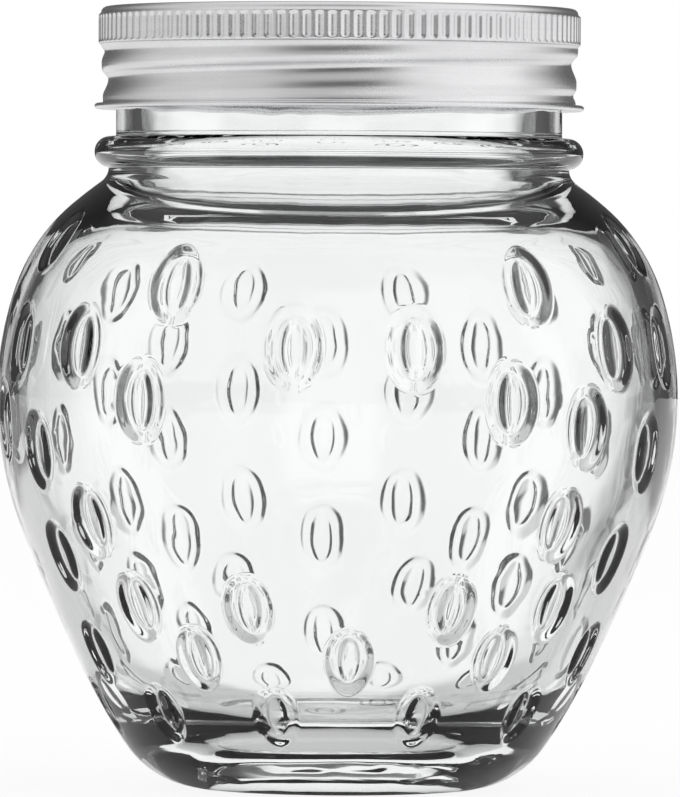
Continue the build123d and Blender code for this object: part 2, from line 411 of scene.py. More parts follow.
class MeshMaker:
    """Gathers points, faces and point values of one closed mesh."""

    def __init__(self) -> None:
        """Start empty."""
        self.points: list[np.ndarray] = []
        self.faces: list[tuple[int, ...]] = []
        self.values: dict[str, list[np.ndarray]] = {}
        self.count = 0

    def add(self, points: np.ndarray, **values: np.ndarray) -> np.ndarray:
        """Add points.

        Args:
            points: Their places, in metres.
            values: What each point stores, under the same names each time.

        Returns:
            The points' numbers.
        """
        self.points.append(points)
        for name, stored in values.items():
            self.values.setdefault(name, []).append(stored)
        numbers = np.arange(self.count, self.count + len(points))
        self.count += len(points)
        return numbers

    def ring(self, outline: Outline, row: int, columns: int, **stored: float) -> np.ndarray:
        """Turn one point of an outline into a ring.

        Args:
            outline: The half-section.
            row: Number of its point.
            columns: How many points the ring has.
            stored: Further numbers that each of them stores.

        Returns:
            The numbers of the ring's points.
        """
        angles = even_angles(columns)
        pairs, normals = (np.repeat(kind[row:row + 1], columns, axis=0)
                          for kind in (outline.points, outline.normals))
        values = {name: np.full(columns, number) for name, number in stored.items()}
        return self.add(round_points(pairs, angles) * MM,
                        outwards=round_points(normals, angles), **values)

    def strip(self, low: np.ndarray, high: np.ndarray) -> None:
        """Join two rings by quads, or by fans where one has some times the other's points.

        Args:
            low: Numbers of the ring that the outline comes to first.
            high: Numbers of the other ring.
        """
        size = min(len(low), len(high))
        times = max(len(low), len(high)) // size
        for index in range(size):
            after = (index + 1) % size
            if times == 1:
                self.faces.append((low[index], low[after], high[after], high[index]))
                continue
            coarse, fine = (low, high) if len(low) == size else (high, low)
            ends = (coarse[index], coarse[after])
            edge = [fine[(index * times + step) % len(fine)] for step in range(times + 1)]
            fans = [(ends[step >= times // 2], edge[step + 1], edge[step])
                    for step in range(times)]
            fans.append((ends[0], ends[1], edge[times // 2]))
            self.faces += fans if coarse is low else [face[::-1] for face in fans]

    def strips(self, rings: Sequence[np.ndarray]) -> None:
        """Join each ring to the next."""
        for before, after in zip(rings, rings[1:]):
            self.strip(before, after)

    def fan(self, centre: int, ring: np.ndarray, outwards: bool) -> None:
        """Close a ring on a middle point.

        Args:
            centre: Number of the middle point.
            ring: Numbers of the ring's points.
            outwards: Whether the outline goes from the middle to the ring.
        """
        size = len(ring)
        for index in range(size):
            after = (index + 1) % size
            pair = (ring[after], ring[index]) if outwards else (ring[index], ring[after])
            self.faces.append((centre, *pair))

    def close(self, outline: Outline, ring: np.ndarray, outwards: bool,
              **stored: float) -> None:
        """Close a ring on the end of the outline that is on the axis.

        Args:
            outline: The half-section.
            ring: Numbers of the ring's points.
            outwards: Whether that end is the outline's start, or else its finish.
            stored: Further numbers that the point on the axis stores.
        """
        height = outline.points[0 if outwards else -1, 1]
        values = {name: np.full(1, number) for name, number in stored.items()}
        centre = self.add(np.array([[0.0, 0.0, height * MM]]),
                          outwards=np.array([[0.0, 0.0, -1.0 if outwards else 1.0]]), **values)
        self.fan(int(centre[0]), ring, outwards)

    def mesh(self, name: str) -> bpy.types.Mesh:
        """Make the mesh, with each value stored on its points.

        Args:
            name: Name of the mesh.

        Returns:
            The mesh.
        """
        mesh = bpy.data.meshes.new(name)
        points = np.concatenate(self.points)
        mesh.from_pydata(points.tolist(), [], [tuple(map(int, face)) for face in self.faces])
        for value_name, chunks in self.values.items():
            numbers = np.concatenate(chunks).astype(np.float32)
            kind, key = ("FLOAT_VECTOR", "vector") if numbers.ndim == 2 else ("FLOAT", "value")
            layer = mesh.attributes.new(value_name, kind, "POINT")
            layer.data.foreach_set(key, numbers.ravel())
        mesh.validate()
        return mesh


def even_angles(count: int) -> np.ndarray:
    """Return angles spaced evenly round a full turn, in radians."""
    return np.arange(count) * 2 * math.pi / count


def round_points(pairs: np.ndarray, angles: np.ndarray) -> np.ndarray:
    """Turn each (radius, height) pair to its angle from the front, in radians."""
    return np.stack([pairs[:, 0] * np.sin(angles), -pairs[:, 0] * np.cos(angles),
                     pairs[:, 1]], axis=1)


def smooth_share(values: np.ndarray, low: float, high: float) -> np.ndarray:
    """Rise smoothly from 0 at the low number to 1 at the high one."""
    share = np.clip((values - low) / (high - low), 0.0, 1.0)
    return share * share * (3.0 - 2.0 * share)


def turned_mesh(name: str, outline: Outline, columns: int, closed: bool,
                stored: dict[str, np.ndarray] | None = None,
                times: np.ndarray | None = None) -> bpy.types.Mesh:
    """Turn an outline into a closed mesh with its normals stored.

    Args:
        name: Name of the mesh.
        outline: The half-section. A closed one ends beside its start.
        columns: How many columns go round.
        closed: Whether the outline is a ring, or else starts and ends on the axis.
        stored: Further numbers to store, one for each point of the outline.
        times: How many times the columns each point of the outline has, or None.

    Returns:
        The mesh, in metres.
    """
    maker = MeshMaker()
    count = len(outline.points)
    numbers = [{key: values[row] for key, values in (stored or {}).items()}
               for row in range(count)]
    rings = [maker.ring(outline, row, columns * (1 if times is None else int(times[row])),
                        **numbers[row])
             for row in (range(count) if closed else range(1, count - 1))]
    maker.strips(rings)
    if closed:
        maker.strip(rings[-1], rings[0])
    else:
        maker.close(outline, rings[0], True, **numbers[0])
        maker.close(outline, rings[-1], False, **numbers[-1])
    return maker.mesh(name)


# Relief trees


class Relief:
    """A Geometry Nodes tree that moves a mesh's points along their stored normals."""

    def __init__(self, name: str, sizes: dict[str, float]) -> None:
        """Make the tree and its named inputs.

        Args:
            name: Name of the tree.
            sizes: The inputs and their values.
        """
        self.sizes = sizes
        self.tree = bpy.data.node_groups.new(name, "GeometryNodeTree")
        self.tree.is_modifier = True
        face = self.tree.interface
        face.new_socket("Geometry", in_out="INPUT", socket_type="NodeSocketGeometry")
        kinds = {label: "NodeSocketFloat" for label in sizes}
        kinds["Finish"] = "NodeSocketMaterial"
        self.identifiers = {
            label: face.new_socket(label, in_out="INPUT", socket_type=kind).identifier
            for label, kind in kinds.items()}
        face.new_socket("Geometry", in_out="OUTPUT", socket_type="NodeSocketGeometry")
        self.graph = Graph(self.tree)
        self.source = self.graph.add("NodeGroupInput")
        self.place = self.graph.add("GeometryNodeInputPosition").outputs[0]

    def size(self, label: str) -> Value:
        """Return one of the tree's named inputs."""
        return Value(self.graph, self.source.outputs[label])

    def stored(self, label: str) -> Value:
        """Return a number stored on the mesh's points."""
        return self.graph.value("GeometryNodeInputNamedAttribute", {"data_type": "FLOAT"},
                                {"Name": label}, "Attribute")

    def finish(self, height: Value) -> None:
        """Move the points outwards and close the tree.

        Args:
            height: How far each point moves, in millimetres.
        """
        normal = self.graph.add("GeometryNodeInputNamedAttribute",
                                {"data_type": "FLOAT_VECTOR"}, {"Name": "outwards"})
        move = self.graph.add("ShaderNodeVectorMath", {"operation": "SCALE"},
                              {0: normal.outputs["Attribute"], "Scale": height * MM})
        shape = self.source.outputs["Geometry"]
        for kind, inputs in (
                ("GeometryNodeSetPosition", {"Offset": move.outputs[0]}),
                ("GeometryNodeRealizeInstances", {}),
                ("GeometryNodeSetMaterial", {"Material": self.source.outputs["Finish"]})):
            shape = self.graph.add(kind, None, {"Geometry": shape, **inputs}).outputs[0]
        self.graph.add("NodeGroupOutput", None, {"Geometry": shape})

    def bake(self, name: str, mesh: bpy.types.Mesh,
             material: bpy.types.Material) -> bpy.types.Object:
        """Run the tree on a mesh and turn the result into a plain object.

        Args:
            name: Name of the new object.
            mesh: The mesh with its stored values.
            material: The finish that the tree sets.

        Returns:
            The object, with no modifier on it.
        """
        carrier = bpy.data.objects.new(name + "_carrier", mesh)
        bpy.context.scene.collection.objects.link(carrier)
        modifier = carrier.modifiers.new("relief", "NODES")
        modifier.node_group = self.tree
        for label, value in self.sizes.items():
            modifier[self.identifiers[label]] = value
        modifier[self.identifiers["Finish"]] = material
        carrier.update_tag()
        depsgraph = bpy.context.evaluated_depsgraph_get()
        result = bpy.data.meshes.new_from_object(carrier.evaluated_get(depsgraph))
        carrier.modifiers.clear()
        bpy.data.objects.remove(carrier)
        for label in STORED:
            if label in result.attributes:
                result.attributes.remove(result.attributes[label])
        result.name = name
        return add_object(name, result, material)


def add_object(name: str, mesh: bpy.types.Mesh,
               material: bpy.types.Material) -> bpy.types.Object:
    """Put a mesh into the scene with one finish.

    Args:
        name: Name of the object.
        mesh: Its mesh, in metres and in place.
        material: Its finish.

    Returns:
        The object, at the origin.
    """
    mesh.materials.clear()
    mesh.materials.append(material)
    mesh.shade_smooth()
    thing = bpy.data.objects.new(name, mesh)
    bpy.context.scene.collection.objects.link(thing)
    return thing


def hand_over(piece: bpy.types.Object, node: Node) -> bpy.types.Object:
    """Put a finished piece in place of its node, on the jar's one body.

    Args:
        piece: The piece.
        node: The node that it takes the place of.

    Returns:
        The piece.
    """
    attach(piece, Body.ROOT.value)
    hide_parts(node.value)
    return piece


# Finishes


def new_material(name: str) -> tuple[bpy.types.Material, Graph, bpy.types.NodeSocket]:
    """Make an empty material.

    Args:
        name: Name of the material.

    Returns:
        The material, its graph and the Object coordinates in it.
    """
    material = bpy.data.materials.new(name)
    material.use_nodes = True
    material.node_tree.nodes.clear()
    graph = Graph(material.node_tree)
    return material, graph, graph.add("ShaderNodeTexCoord").outputs["Object"]


def close_material(material: bpy.types.Material, graph: Graph, shader: str,
                   inputs: dict[Any, Any]) -> bpy.types.Material:
    """Make a shader the surface of a material.

    Args:
        material: The material.
        graph: Its graph.
        shader: The shader's type name.
        inputs: What the shader takes.

    Returns:
        The material.
    """
    surface = graph.add(shader, None, inputs)
    graph.add("ShaderNodeOutputMaterial", None, {"Surface": surface.outputs[0]})
    return material


@dataclass(frozen=True)
class ClearGlass:
    """Clear pressed glass, a touch uneven where it met its mould."""

    name: str = "clear_glass"
    clear: Colour = (0.985, 0.99, 0.99, 1.0)
    faint: Colour = (0.965, 0.975, 0.975, 1.0)
    bending: float = 1.5
    patch: float = 38.0
    patch_edges: Pair = (0.35, 0.7)
    swell: float = 152.0
    ripple: float = 0.035
    ripple_depth: float = 1.0

    def material(self) -> bpy.types.Material:
        """Make the finish.

        Returns:
            The material.
        """
        material, graph, place = new_material(self.name)
        cloud = graph.noise(place, self.patch, Detail.SOFT)
        tint = graph.blend(cloud.step(*self.patch_edges), self.clear, self.faint)
        uneven = graph.noise(place, self.swell, Detail.SMOOTH)
        normal = graph.bump(self.ripple, self.ripple_depth, uneven)
        return close_material(material, graph, "ShaderNodeBsdfPrincipled", {
            "Base Color": tint, "Roughness": 0.0, "IOR": self.bending,
            "Transmission Weight": 1.0, "Normal": normal})


@dataclass(frozen=True)
class SatinMetal:
    """Satin tinned sheet, finely brushed round the axis, with dark grey painted shade
    underneath.

    The painted shade goes where little light falls, on what faces down or in towards the glass,
    above the sheet's foot. Its slopes are parts of the normal, and its heights are millimetres.
    """

    name: str
    light: Colour
    dark: Colour
    low_rough: float
    high_rough: float
    brush: float
    # Dark grey painted shade for the side that faces down or inwards.
    painted_shade: Colour = (0.09, 0.09, 0.095, 1.0)
    specular: float = 0.15
    stretch: tuple[float, float, float] = (60.0, 60.0, 2600.0)
    patch: float = 55.0
    grain: float = 2600.0
    tone_edges: Pair = (0.3, 0.7)
    tone_share: float = 0.7
    rough_share: float = 0.6
    line_share: float = 0.6
    brush_depth: float = 0.05
    inward_slopes: Pair = (0.3, 0.6)
    down_slopes: Pair = (0.6, 0.9)
    painted_shade_heights: Pair = (105.5, 107.5)

    def material(self) -> bpy.types.Material:
        """Make the finish.

        Returns:
            The material.
        """
        material, graph, place = new_material(self.name)
        drawn = graph.add("ShaderNodeMapping", None, {"Vector": place, "Scale": self.stretch})
        lines = graph.noise(drawn.outputs[0], 1.0, Detail.DRAWN)
        cloud = graph.noise(place, self.patch, Detail.MOTTLED)
        grain = graph.noise(place, self.grain, Detail.SOFT)
        # Painted shade: the side facing down or inwards is made dark grey and not metallic.
        under = self.painted_shade_side(graph, place)
        worn = self.mixture(self.tone_share, cloud, lines).step(*self.tone_edges)
        colour = graph.blend(under, graph.blend(worn, self.light, self.dark), self.painted_shade)
        rough = between(self.low_rough, self.high_rough,
                        self.mixture(self.rough_share, cloud, grain))
        normal = graph.bump(self.brush, self.brush_depth,
                            self.mixture(self.line_share, lines, grain))
        return close_material(material, graph, "ShaderNodeBsdfPrincipled", {
            # The painted shade also turns the metal off on that side.
            "Base Color": colour, "Metallic": 1.0 - under, "Roughness": rough,
            "Specular IOR Level": self.specular, "Normal": normal})

    @staticmethod
    def mixture(share: float, first: Value, second: Value) -> Value:
        """Return a pattern of which a share is the first one and the rest the second."""
        return first * share + second * (1.0 - share)

    def painted_shade_side(self, graph: Graph, place: bpy.types.NodeSocket) -> Value:
        """Find the side that gets painted shade.

        Args:
            graph: The material's graph.
            place: The Object coordinates in it.

        Returns:
            1 where the dark painted shade goes and 0 on bare metal.
        """
        x, y, z = graph.parts(place)
        nx, ny, nz = graph.parts(graph.add("ShaderNodeNewGeometry").outputs["Normal"])
        radius = (x * x + y * y) ** 0.5 + SHORTEST
        inwards = (-(x * nx + y * ny) / radius).step(*self.inward_slopes)
        hidden = (-nz).step(*self.down_slopes).maths("MAXIMUM", inwards)
        low, high = self.painted_shade_heights
        return hidden * z.step(low * MM, high * MM)


@dataclass(frozen=True)
class SoftSeal:
    """Pale sealing compound, dull and slightly mottled."""

    name: str = "soft_seal"
    light: Colour = (0.80, 0.79, 0.75, 1.0)
    dark: Colour = (0.66, 0.65, 0.61, 1.0)
    patch: float = 240.0
    tone_edges: Pair = (0.3, 0.7)
    low_rough: float = 0.55
    high_rough: float = 0.75
    unevenness: float = 0.3
    depth: float = 0.1

    def material(self) -> bpy.types.Material:
        """Make the finish.

        Returns:
            The material.
        """
        material, graph, place = new_material(self.name)
        cloud = graph.noise(place, self.patch, Detail.MOTTLED)
        return close_material(material, graph, "ShaderNodeBsdfPrincipled", {
            "Base Color": graph.blend(cloud.step(*self.tone_edges), self.light, self.dark),
            "Roughness": between(self.low_rough, self.high_rough, cloud),
            "Normal": graph.bump(self.unevenness, self.depth, cloud)})


# The glass jar


@dataclass(frozen=True)
class Seed:
    """Where a seed sits: height, angle from the front in degrees, and size as a share."""

    height: float
    angle: float
    size: float

    def halves(self, width: float, length: float) -> Pair:
        """Return half the width and length of an oval at this seed."""
        return self.size * width / 2, self.size * length / 2


@dataclass(frozen=True)
class Wall:
    """Finely spaced points along the wall, with its unrolled lengths and normals.

    The wall is unrolled by the map that keeps its angles, so that an even net there is an
    even net on the jar.
    """

    along: np.ndarray
    spread: np.ndarray
    pairs: np.ndarray
    normals: np.ndarray

    @classmethod
    def of(cls, outline: Outline) -> "Wall":
        """Space the points of an outline finely.

        Args:
            outline: The wall's outline.

        Returns:
            The wall.
        """
        points = outline.points
        steps = np.hypot(*np.diff(points, axis=0).T)
        along = np.concatenate([[0.0], np.cumsum(steps)])
        mean_radius = (points[1:, 0] + points[:-1, 0]) / 2
        spread = np.concatenate([[0.0], np.cumsum(steps / mean_radius)])
        fine = np.linspace(0.0, along[-1], WALL_POINTS)
        pairs = np.stack([np.interp(fine, along, points[:, axis]) for axis in (0, 1)], 1)
        turn = np.unwrap(np.arctan2(outline.headings[:, 1], outline.headings[:, 0]))
        angle = np.interp(fine, along, turn)
        normals = np.stack([np.sin(angle), -np.cos(angle)], axis=1)
        return cls(fine, np.interp(fine, along, spread), pairs, normals)

    def sample(self, at: np.ndarray) -> tuple[np.ndarray, np.ndarray]:
        """Find the wall at lengths along it.

        Args:
            at: The lengths.

        Returns:
            The wall's points and unit normals there.
        """
        pairs, normals = (np.stack([np.interp(at, self.along, kind[:, axis])
                                    for axis in (0, 1)], 1)
                          for kind in (self.pairs, self.normals))
        return pairs, normals / np.hypot(normals[:, 0], normals[:, 1])[:, None]

    def at_height(self, height: float) -> float:
        """Return the length along the wall at a height."""
        return float(np.interp(height, self.pairs[:, 1], self.along))

    def radius(self, at: float) -> float:
        """Return the wall's radius at a length along it."""
        return float(np.interp(at, self.along, self.pairs[:, 0]))

    def spread_at(self, at: np.ndarray) -> np.ndarray:
        """Return the unrolled lengths at lengths along the wall."""
        return np.interp(at, self.along, self.spread)

    def along_at(self, spread: np.ndarray) -> np.ndarray:
        """Return the lengths along the wall at unrolled ones."""
        return np.interp(spread, self.spread, self.along)

    @staticmethod
    def unrolled(spread: np.ndarray, angles: np.ndarray) -> np.ndarray:
        """Return the places of points on the flat map."""
        return np.stack([np.exp(spread) * np.sin(angles), -np.exp(spread) * np.cos(angles)], 1)


@dataclass
class GlassJar:
    """The glass: a strawberry body with seeded dimples, a collar, a neck and a round mouth.

    The shares say where the arcs of the wall meet, inwards from the belly and along to the
    end of the body. A row of seeds is its height as a share of the shoulder's, the size of
    its seeds, and their angles on the front half and on the back half.
    """

    body: float = 105.0
    belly: float = 60.0
    shoulder: float = 93.9
    heel: float = 64.6
    heel_height: float = 6.3
    heel_round: float = 15.0
    bearing: float = 45.0
    bearing_width: float = 3.0
    push_up: float = 1.5
    push_up_flat: float = 14.0
    wall: float = 3.6
    floor: float = 8.2
    bore_round: float = 5.0
    groove: float = 71.0
    groove_round: float = 1.2
    collar: float = 75.4
    collar_round: float = 2.4
    collar_height: float = 97.75
    collar_foot: float = 0.4
    corner_round: float = 0.3
    neck: float = 68.8
    neck_height: float = 105.5
    finish: float = 66.8
    finish_round: float = 0.6
    bore: float = 61.0
    rim: float = 118.5
    rim_round: float = 0.5
    lower_shares: tuple[Pair, ...] = ((0.193, 0.38), (0.678, 0.793), (1.0, 1.0))
    upper_shares: tuple[Pair, ...] = ((0.159, 0.493), (0.671, 0.873), (1.0, 1.0))

    wall_step: float = 1.7
    push_up_step: float = 2.5
    hollow_step: float = 0.25
    corner_step: float = 0.15
    collar_step: float = 0.3
    neck_step: float = 0.8
    finish_step: float = 0.5
    rim_steps: Pair = (0.42, 0.4)
    inner_step: float = 1.8
    floor_step: float = 3.0

    seed_width: float = 4.0
    seed_length: float = 9.2
    seed_rise: float = 0.62
    dimple_width: float = 8.9
    dimple_length: float = 13.2
    dimple_depth: float = 0.70
    seed_rows: tuple[tuple[float, float, tuple[float, ...], tuple[float, ...]], ...] = (
        (0.133, 0.80, (-80, -48, -17, 17, 48, 80), (-73, -44, -15, 15, 44, 73)),
        (0.227, 0.84, (-65, -33, 0, 33, 65), (-65, -33, 0, 33, 65)),
        (0.309, 0.88, (-45, -20, 20, 45), (-79, -45, -20, 20, 45, 79)),
        (0.384, 0.90, (-64, 59), (-61, -31, 0, 31, 61)),
        (0.444, 0.92, (-51, 40), (-44, -16, 16, 44)),
        (0.555, 0.96, (-63, 62), (-88, -62, -31, 0, 31, 62, 88)),
        (0.600, 0.98, (-79, 43), ()),
        (0.641, 1.00, (-37, 27), (-45, -16, 16, 45)),
        (0.727, 1.00, (-71, -51, -10, 10, 51, 70), (-84, -62, -31, 0, 31, 62, 84)),
        (0.827, 1.00, (-32, 32), (-46, -16, 16, 46)),
        (0.896, 0.90, (-70, 70), (-69, 69)),
    )

    columns: int = 160
    row_share: float = 0.87
    patch_low: float = 4.6
    patch_high: float = 90.4
    patch_room: float = 1.1
    spokes: int = 36
    seed_rings: tuple[float, ...] = (0.4, 0.64, 0.78, 0.88, 0.96, 1.03)
    dimple_rings: tuple[float, ...] = (0.15, 0.45, 0.66, 0.76, 0.84, 0.92, 1.0, 1.07)
    ring_blend: float = 0.97
    closeness: float = 1e-7

    thread_height: float = 1.1
    thread_pitch: float = 5.08
    thread_low: float = 3.4
    thread_crest: Pair = (0.10, 0.26)
    thread_start: Pair = (-1.5, 0.5)
    thread_end: Pair = (6.0, 8.0)
    thread_margins: Pair = (0.8, 1.6)

    def seeds(self) -> list[Seed]:
        """Place every seed on the jar.

        Returns:
            The seeds, row by row.
        """
        found = []
        for share, size, front, back in self.seed_rows:
            height = share * self.shoulder
            found += [Seed(height, angle, size) for angle in front]
            found += [Seed(height, angle + 180, size) for angle in back]
        return found

    def ends(self, radius: float, height: float, shares: Sequence[Pair]) -> list[Pair]:
        """Find where the wall's arcs meet, from the belly to an end of the body.

        Args:
            radius: Radius of that end.
            height: Its height.
            shares: How far in and along each meeting point lies.

        Returns:
            The belly's point and the meeting points.
        """
        belly = self.body / 2
        return [(belly, self.belly)] + [(belly + inwards * (radius - belly),
                                         self.belly + along * (height - self.belly))
                                        for inwards, along in shares]

    @staticmethod
    def headings(points: Sequence[Pair], heading: Pair) -> list[Pair]:
        """Find the direction of a chain of arcs at each of its points.

        Args:
            points: Where the arcs meet.
            heading: Direction in which the first arc sets off.

        Returns:
            The directions.
        """
        ways = [heading]
        for before, after in zip(points, points[1:]):
            pen = Pen(before, ways[-1], math.inf)
            pen.bend(after)
            ways.append(pen.headings[-1])
        return ways

    def inner(self, points: Sequence[Pair], start: Pair, side: float) -> list[Pair]:
        """Move the points of a wall inwards, square to it, by the wall's thickness.

        Args:
            points: Where the wall's arcs meet, from the belly on.
            start: Direction in which the first arc sets off.
            side: 1 for the wall above the belly, -1 for the wall below it.

        Returns:
            The points inside, without the last one.
        """
        ways = self.headings(points, start)
        moved = [(radius - side * self.wall * up, height + side * self.wall * out)
                 for (radius, height), (out, up) in zip(points, ways)]
        return moved[:-1]

    def outline(self) -> tuple[Outline, dict[str, int]]:
        """Draw the whole half-section, from under the base over the rim to the floor inside.

        Returns:
            The section, and the numbers of its points at the shoulder and where the inside
            begins.
        """
        low = self.ends(self.heel / 2, self.heel_height, self.lower_shares)
        high = self.ends(self.groove / 2, self.shoulder, self.upper_shares)
        pen = Pen((0.0, self.push_up), (1.0, 0.0), self.wall_step)
        self.draw_foot(pen)
        pen.chain(low, (0.0, -1.0), backwards=True)
        pen.chain(high, (0.0, 1.0))
        pen.mark("shoulder")
        self.draw_neck(pen)
        pen.mark("inside")
        self.draw_inside(pen, self.inner(low, (0.0, -1.0), -1), self.inner(high, (0.0, 1.0), 1))
        return pen.outline(), pen.marks

    def draw_foot(self, pen: Pen) -> None:
        """Draw the push-up, the bearing ring and the round heel.

        Args:
            pen: The pen, in the middle under the base.
        """
        bearing, heel = self.bearing / 2, self.heel / 2
        pen.line((self.push_up_flat / 2, self.push_up), self.push_up_step)
        pen.bend((bearing - self.bearing_width, 0.0))
        pen.line((bearing, 0.0))
        out, up = heel - bearing, self.heel_height
        lean = math.atan2(up, out) - math.asin(math.hypot(out, up) / (2 * self.heel_round))
        pen.bend((heel, self.heel_height), (math.cos(lean), math.sin(lean)))

    def draw_neck(self, pen: Pen) -> None:
        """Draw the groove, the collar, the neck and the rim, as far as the bore.

        Args:
            pen: The pen, at the shoulder.
        """
        groove, neck, finish, bore = (size / 2 for size in (self.groove, self.neck,
                                                            self.finish, self.bore))
        bead = self.collar / 2 - self.collar_round
        under = self.collar_height - math.sqrt(self.collar_round ** 2 - (groove - bead) ** 2)
        over = self.collar_height + math.sqrt(self.collar_round ** 2 - (neck - bead) ** 2)
        pen.hollow(groove, self.groove_round, self.hollow_step)
        widest = bead + self.collar_round
        pen.turn((groove, under), (widest, under), self.corner_round, self.corner_step)
        start = math.degrees(math.atan2(under - self.collar_height,
                                        groove + self.corner_round - bead))
        pen.bend((widest, self.collar_height), unit(start + 90), self.collar_step)
        pen.bend((neck + self.collar_foot, over), None, self.collar_step)
        pen.turn((neck, over), (neck, self.neck_height), self.corner_round, self.corner_step)
        slope_end = (finish, self.neck_height + neck - finish)
        pen.turn((neck, self.neck_height), slope_end, self.finish_round, self.neck_step)
        pen.turn(slope_end, (finish, self.rim), self.finish_round, self.finish_step)
        pen.turn((finish, self.rim), (bore, self.rim), self.rim_round, self.rim_steps[0])
        pen.turn((bore, self.rim), (bore, self.shoulder), self.rim_round, self.rim_steps[1])

    def draw_inside(self, pen: Pen, low: Sequence[Pair], high: Sequence[Pair]) -> None:
        """Draw the bore, the wall's inside and the floor.

        Args:
            pen: The pen, at the top of the bore.
            low: Where the arcs inside meet, from the belly down.
            high: Where the arcs inside meet, from the belly up.
        """
        bore, top = self.bore / 2, high[-1]
        top_way = self.headings(high, (0.0, 1.0))[-1]
        foot_way = self.headings(low, (0.0, -1.0))[-1]
        bend = (bore, top[1] + (bore - top[0]) * top_way[1] / top_way[0])
        pen.turn(bend, top, self.bore_round, self.inner_step)
        pen.line(top, self.inner_step)
        pen.chain(high, (0.0, 1.0), backwards=True)
        pen.chain(low, (0.0, -1.0))
        radius = (low[-1][1] - self.floor) / (1 + foot_way[0])
        pen.bend((low[-1][0] + radius * foot_way[1], self.floor))
        pen.line((0.0, self.floor), self.floor_step)

    def mesh(self) -> bpy.types.Mesh:
        """Build the glass before its relief.

        Returns:
            The mesh, closed and with its values on its points.
        """
        outline, marks = self.outline()
        outside = outline.points[:marks["shoulder"], 1]
        first, last = (int(np.argmax(outside > height))
                       for height in (self.patch_low, self.patch_high))
        maker = MeshMaker()
        low_ring = self.turned(maker, outline.part(0, first), True, None)
        high_ring = self.turned(maker, outline.part(last, len(outline.points) - 1), False,
                                marks["inside"] - last)
        wall = Wall.of(outline.part(first, last))
        self.wall_with_seeds(maker, wall, low_ring, high_ring)
        return maker.mesh("glass")

    def turned(self, maker: MeshMaker, outline: Outline, from_axis: bool,
               inside_from: int | None) -> np.ndarray:
        """Turn a stretch of the outline and close it where it meets the axis.

        Args:
            maker: The mesh in the making.
            outline: The stretch.
            from_axis: Whether the stretch starts on the axis, or else ends there.
            inside_from: Number of the first point that is inside the jar, or None.

        Returns:
            The numbers of the open ring's points.
        """
        heights = outline.points[:, 1]
        low = self.neck_height + self.thread_margins[0]
        high = self.rim - self.thread_margins[1]
        rings = []
        for row in range(1, len(heights)) if from_axis else range(len(heights) - 1):
            inner = inside_from is not None and row >= inside_from
            threaded = low < heights[row] < high and not inner
            stored = {**PLAIN, "inside": float(inner), "thread": float(threaded)}
            rings.append(maker.ring(outline, row, self.columns, **stored))
        maker.strips(rings)
        maker.close(outline, rings[0 if from_axis else -1], from_axis, **PLAIN)
        return rings[-1 if from_axis else 0]

    @staticmethod
    def place(maker: MeshMaker, wall: Wall, at: np.ndarray, angles: np.ndarray,
              **reach: np.ndarray) -> np.ndarray:
        """Add points of the outside of the wall.

        Args:
            maker: The mesh in the making.
            wall: The wall.
            at: The points' lengths along it.
            angles: Their angles from the front, in radians.
            reach: How far each is from the middle of a seed and of its dimple.

        Returns:
            The points' numbers.
        """
        pairs, normals = wall.sample(at)
        plain = {name: np.full(len(at), number) for name, number in PLAIN.items()}
        return maker.add(round_points(pairs, angles) * MM,
                         outwards=round_points(normals, angles), **{**plain, **reach})

    def net(self, wall: Wall) -> tuple[np.ndarray, np.ndarray]:
        """Spread an even net over the unrolled wall, with room for each seed's patch.

        Args:
            wall: The wall.

        Returns:
            The unrolled lengths and the angles of the net's points.
        """
        width, total = 2 * math.pi / self.columns, wall.spread[-1]
        rows = max(2, round(total / (self.row_share * width)))
        levels = np.linspace(0.0, total, rows + 1)[1:-1]
        spread = np.repeat(levels, self.columns)
        angles = np.concatenate([even_angles(self.columns) + width / 2 * (index % 2 == 0)
                                 for index in range(len(levels))])
        along = wall.along_at(spread)
        reach = self.dimple_rings[-1] * self.patch_room
        keep = np.ones(len(spread), bool)
        for seed in self.seeds():
            at = wall.at_height(seed.height)
            turn = np.angle(np.exp(1j * (angles - math.radians(seed.angle))))
            half_width, half_length = seed.halves(self.dimple_width, self.dimple_length)
            keep &= np.hypot(turn * wall.radius(at) / (half_width * reach),
                             (along - at) / (half_length * reach)) > 1
        return spread[keep], angles[keep]

    def wall_with_seeds(self, maker: MeshMaker, wall: Wall, low_ring: np.ndarray,
                        high_ring: np.ndarray) -> None:
        """Build the wall between two rings, with a fine round patch of mesh at each seed.

        Args:
            maker: The mesh in the making.
            wall: The wall.
            low_ring: Numbers of the lower ring's points.
            high_ring: Numbers of the upper ring's points.
        """
        spread, angles = self.net(wall)
        net = self.place(maker, wall, wall.along_at(spread), angles)
        round_angles = even_angles(self.columns)
        flat = [wall.unrolled(np.full(self.columns, level), round_angles)
                for level in (0.0, wall.spread[-1])]
        flat.append(wall.unrolled(spread, angles))
        numbers = [low_ring, high_ring, net]
        groups = [np.full(len(low_ring), -2), np.full(len(high_ring), -1),
                  np.full(len(net), -1)]
        for index, seed in enumerate(self.seeds()):
            rim, rim_spread, rim_angles = self.seed_patch(maker, wall, seed)
            flat.append(wall.unrolled(rim_spread, rim_angles))
            numbers.append(rim)
            groups.append(np.full(len(rim), index))
        self.join(maker, np.concatenate(flat), np.concatenate(numbers), np.concatenate(groups))

